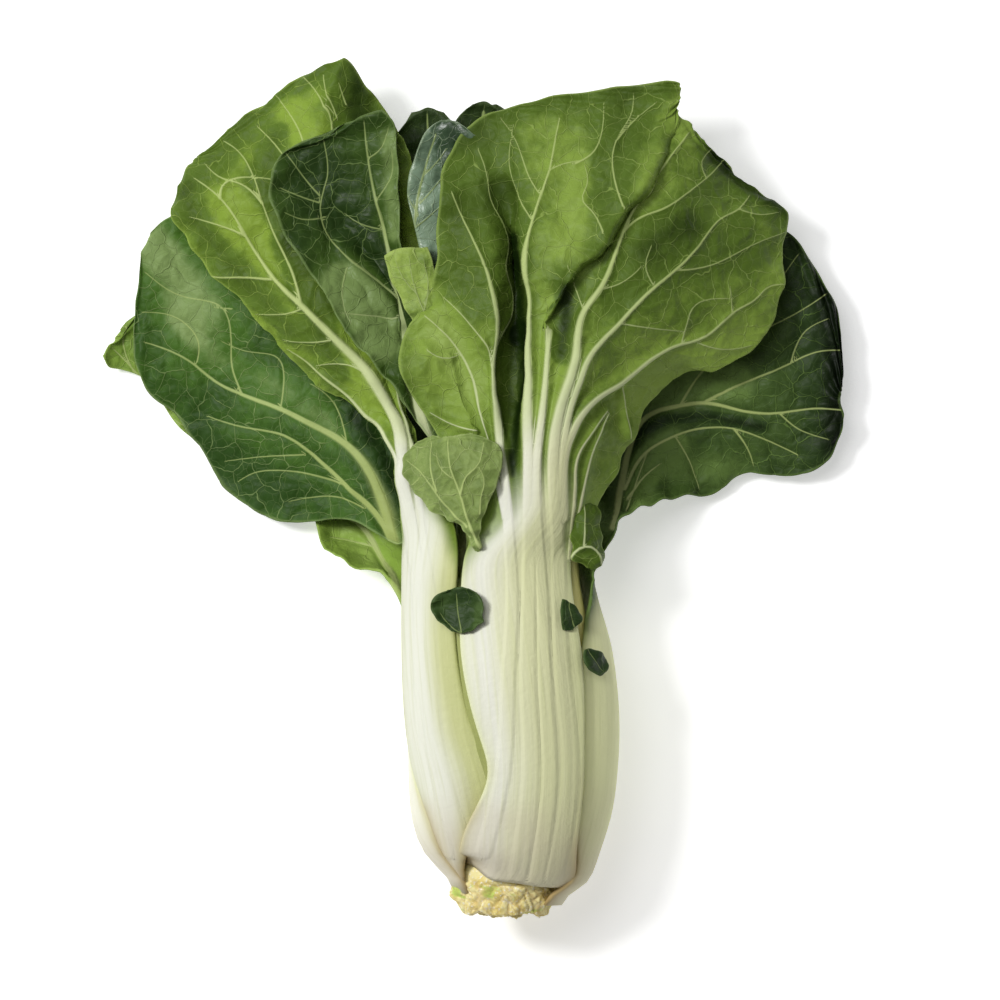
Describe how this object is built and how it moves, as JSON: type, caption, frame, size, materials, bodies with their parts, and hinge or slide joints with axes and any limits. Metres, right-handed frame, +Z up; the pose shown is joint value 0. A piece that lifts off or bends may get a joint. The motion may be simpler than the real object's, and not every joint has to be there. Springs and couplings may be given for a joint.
{
  "type": "bok choy",
  "caption": "Whole head of bok choy lying on its back: thick pale stalks growing from one core, broad ruffled dark green leaf blades fanned out at the top.",
  "frame": {"origin": "centre of the bounding box in plan, at the surface the head lies on", "axes": "+Y from the cut core towards the leaf tips, +Z up from the surface, +X to the right seen from above with the leaf tips at the top"},
  "size_m": [0.259, 0.2998, 0.0682],
  "materials": {
    "core": "matte",
    "leaf_front": "satin",
    "leaf_green": "satin",
    "leaf_dark": "satin",
    "leaf_glossy": "gloss",
    "leaf_pale": "satin"
  },
  "bodies": {
    "root": {"core": "core", "front_leaf": "leaf_front", "left_leaf": "leaf_green", "right_leaf": "leaf_dark", "far_left_leaf": "leaf_green", "back_leaf": "leaf_green", "left_back_leaf": "leaf_dark", "inner_left_leaf": "leaf_glossy", "glossy_leaf": "leaf_glossy", "inner_right_leaf": "leaf_dark", "inner_back_leaf": "leaf_green", "pale_leaflet": "leaf_pale", "front_leaflet": "leaf_pale", "bud_leaflet_left": "leaf_dark", "bud_leaflet_right": "leaf_dark", "bud_leaflet_low": "leaf_dark"}
  },
  "joints": []
}
